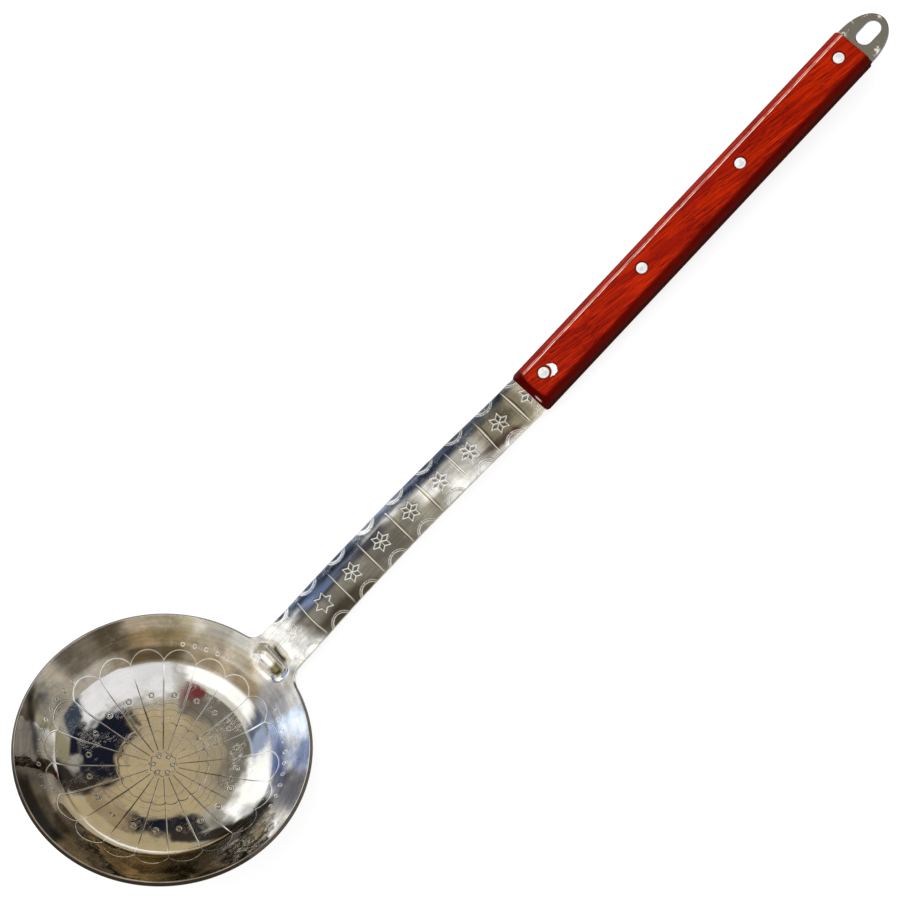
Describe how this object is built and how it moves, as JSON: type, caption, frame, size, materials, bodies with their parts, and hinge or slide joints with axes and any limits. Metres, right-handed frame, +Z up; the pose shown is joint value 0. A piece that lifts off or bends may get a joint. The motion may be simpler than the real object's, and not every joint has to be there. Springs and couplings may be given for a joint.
{
  "type": "soup ladle",
  "caption": "Long-handled soup ladle: a shallow round steel bowl and arched neck pressed in one piece, riveted wooden grip scales and a slotted hang tab.",
  "frame": {"origin": "the point on the table under the middle of the ladle's box, as it lies at rest on the bowl and the front edge of the lower scale", "axes": "+X along the ladle from the bowl to the hang tab, +Z up, out of the bowl's mouth; Y across"},
  "size_m": [0.4464, 0.1142, 0.0532],
  "materials": {
    "polished_steel": "polished to a mirror, engraved and stamped by hand",
    "red_wood": "red-brown hardwood under clear gloss lacquer",
    "rivet_metal": "peened flat, dull"
  },
  "bodies": {
    "root": {"ladle_steel": "polished_steel", "top_scale": "red_wood", "bottom_scale": "red_wood", "rivet_1": "rivet_metal", "rivet_2": "rivet_metal", "rivet_3": "rivet_metal", "rivet_4": "rivet_metal"}
  },
  "joints": []
}
